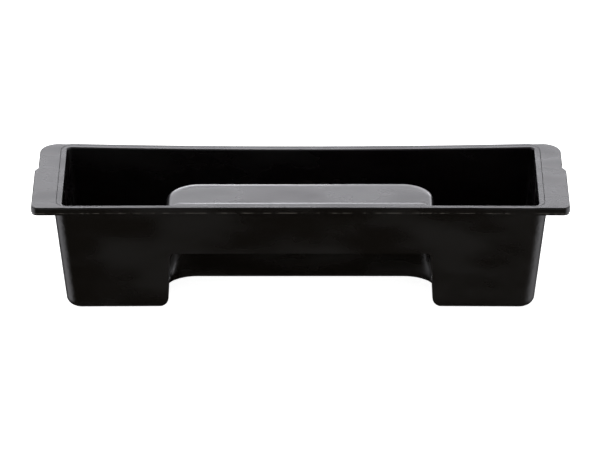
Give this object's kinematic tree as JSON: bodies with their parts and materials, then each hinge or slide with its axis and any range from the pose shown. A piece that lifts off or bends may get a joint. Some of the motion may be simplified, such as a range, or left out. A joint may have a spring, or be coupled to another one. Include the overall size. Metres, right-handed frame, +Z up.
{
  "type": "paint roller tray",
  "caption": "Long deep paint roller tray with end wells, a rear trough and a raised shelf, a flanged rim, a cut-away front below the shelf and a liner that lifts out.",
  "frame": {"origin": "centre of the tray's bounding box in plan, on the surface the tray stands on", "axes": "+X along the tray's length, +Y from the cut-away front to the rear, +Z up out of the opening"},
  "size_m": [0.54, 0.1534, 0.12],
  "materials": {
    "tray_plastic": "black moulded polypropylene, semi-gloss",
    "liner_plastic": "black thermoformed plastic, semi-gloss"
  },
  "bodies": {
    "tray": {"outer_tray": "tray_plastic"},
    "liner": {"drop_in_liner": "liner_plastic"}
  },
  "joints": [
    {"name": "liner_lift", "type": "slide", "parent": "tray", "child": "liner", "axis": [0, 0, 1], "range_m": [0, 0.13]}
  ]
}
